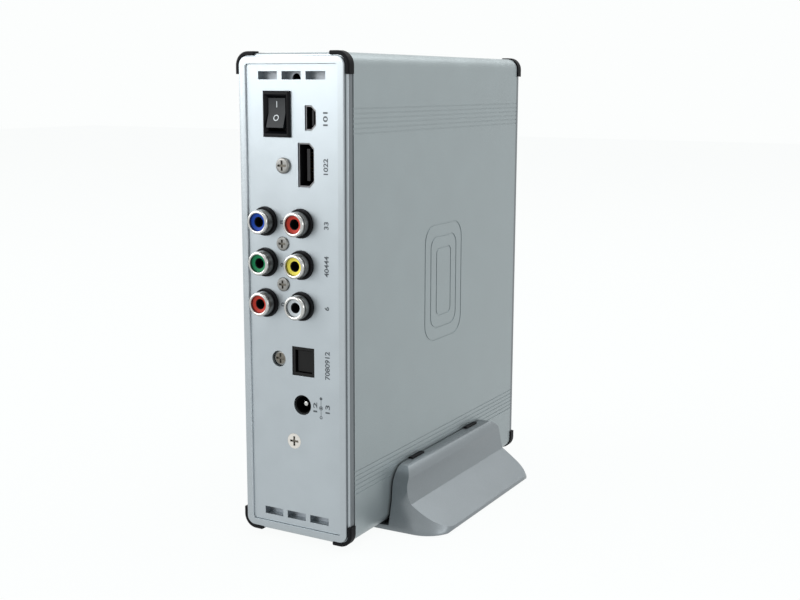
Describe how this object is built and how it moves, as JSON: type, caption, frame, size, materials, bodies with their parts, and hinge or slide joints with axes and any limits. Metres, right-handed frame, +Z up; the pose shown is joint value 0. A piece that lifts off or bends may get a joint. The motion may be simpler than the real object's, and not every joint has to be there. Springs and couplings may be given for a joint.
{
  "type": "media player with hard drive tray",
  "caption": "Upright slab-shaped media player in a flared cradle, with a connector panel on one end and a drive tray that draws out behind it.",
  "frame": {"origin": "middle of the whole footprint, at the level of the floor under the rubber feet", "axes": "+X to the right seen from the connector end, +Y from the connector end to the plain end, +Z up"},
  "size_m": [0.0868, 0.1412, 0.1688],
  "materials": {
    "anodised_aluminium": "satin, sand blasted and anodised",
    "silver_plastic": "silver paint, satin",
    "silver_panel": "silver paint, fine grain",
    "silver_paint": "metallic silver paint, satin",
    "black_plastic": "moulded, matt",
    "gloss_black": "moulded, satin",
    "black_rubber": "matt",
    "smoked_window": "dark red, polished",
    "clear_pipe": "clear, frosted",
    "nickel_screw": "nickel plated",
    "zinc_steel": "zinc coated sheet",
    "brass": "plain",
    "circuit_board": "solder resist, gloss",
    "chip_black": "moulded epoxy",
    "black_heatsink": "black anodised",
    "capacitor_sleeve": "shrink sleeve",
    "pale_plastic": "moulded",
    "cable_grey": "soft",
    "chrome_shell": "bright nickel",
    "insert_blue": "moulded",
    "insert_red": "moulded",
    "insert_green": "moulded",
    "insert_yellow": "moulded",
    "insert_white": "moulded",
    "cast_aluminium": "die cast",
    "mirror_disc": "polished"
  },
  "bodies": {
    "stand": {"stand_shell": "silver_paint", "stand_liner": "black_plastic", "stand_grip_pads": "black_rubber", "stand_feet": "black_rubber"},
    "player": {"case_sleeve": "anodised_aluminium", "front_bezel": "silver_plastic", "front_bezel_screws": "nickel_screw", "front_corner_bumpers": "black_rubber", "front_light_pipes": "clear_pipe", "front_panel": "silver_panel", "front_window": "smoked_window"},
    "tray": {"board_screws": "nickel_screw", "board_standoffs": "brass", "chip_heatsink": "black_heatsink", "data_port_shell": "chrome_shell", "data_port_tongue": "black_plastic", "decoder_chip": "chip_black", "drive_base": "cast_aluminium", "drive_board": "circuit_board", "drive_cable": "cable_grey", "drive_connector": "black_plastic", "drive_cover": "zinc_steel", "drive_cover_screws": "nickel_screw", "drive_magnets": "chrome_shell", "drive_screws": "nickel_screw", "drive_socket": "pale_plastic", "infrared_receiver": "chip_black", "jack_block": "black_plastic", "jack_contacts": "brass", "jack_insert_blue": "insert_blue", "jack_insert_green": "insert_green", "jack_insert_white": "insert_white", "jack_insert_yellow": "insert_yellow", "jack_inserts_red": "insert_red", "jack_shells": "chrome_shell", "main_board": "circuit_board", "memory_chips": "chip_black", "optical_housing": "black_plastic", "panel_flat_screw": "nickel_screw", "panel_screws": "nickel_screw", "power_capacitors": "capacitor_sleeve", "power_coils": "chip_black", "power_jack_body": "black_plastic", "power_jack_pin": "chrome_shell", "rear_bezel": "silver_plastic", "rear_corner_bumpers": "black_rubber", "rear_panel": "silver_panel", "status_lights": "clear_pipe", "switch_housing": "gloss_black", "switch_leads": "cable_grey", "switch_terminals": "brass", "tray_chassis": "zinc_steel", "video_port_shell": "chrome_shell", "video_port_tongue": "black_plastic"},
    "rocker": {"switch_rocker": "gloss_black"},
    "shutter": {"optical_shutter": "black_plastic"},
    "disc_stack": {"drive_platter": "mirror_disc"},
    "head_arm": {"drive_head_arm": "cast_aluminium"}
  },
  "joints": [
    {"name": "player_lift", "type": "slide", "parent": "stand", "child": "player", "axis": [0, 0, 1], "range_m": [0, 0.04]},
    {"name": "tray_slide", "type": "slide", "parent": "player", "child": "tray", "axis": [0, -1, 0], "range_m": [0, 0.115]},
    {"name": "rocker_tip", "type": "hinge", "parent": "tray", "child": "rocker", "pos_m": [-0.0057, -0.06395, 0.1483], "axis": [1, 0, 0], "range_deg": [0, 18]},
    {"name": "shutter_swing", "type": "hinge", "parent": "tray", "child": "shutter", "pos_m": [0.0008, -0.06405, 0.0652], "axis": [0, 0, 1], "range_deg": [0, 80], "stiffness_Nm_per_rad": 0.0001, "springref_deg": -17.19},
    {"name": "disc_spin", "type": "hinge", "parent": "tray", "child": "disc_stack", "pos_m": [-0.0059, 0.01445, 0.108], "axis": [1, 0, 0], "continuous": true},
    {"name": "head_arm_swing", "type": "hinge", "parent": "tray", "child": "head_arm", "pos_m": [-0.0059, 0.04045, 0.05604], "axis": [-1, 0, 0], "range_deg": [0, 38]}
  ]
}
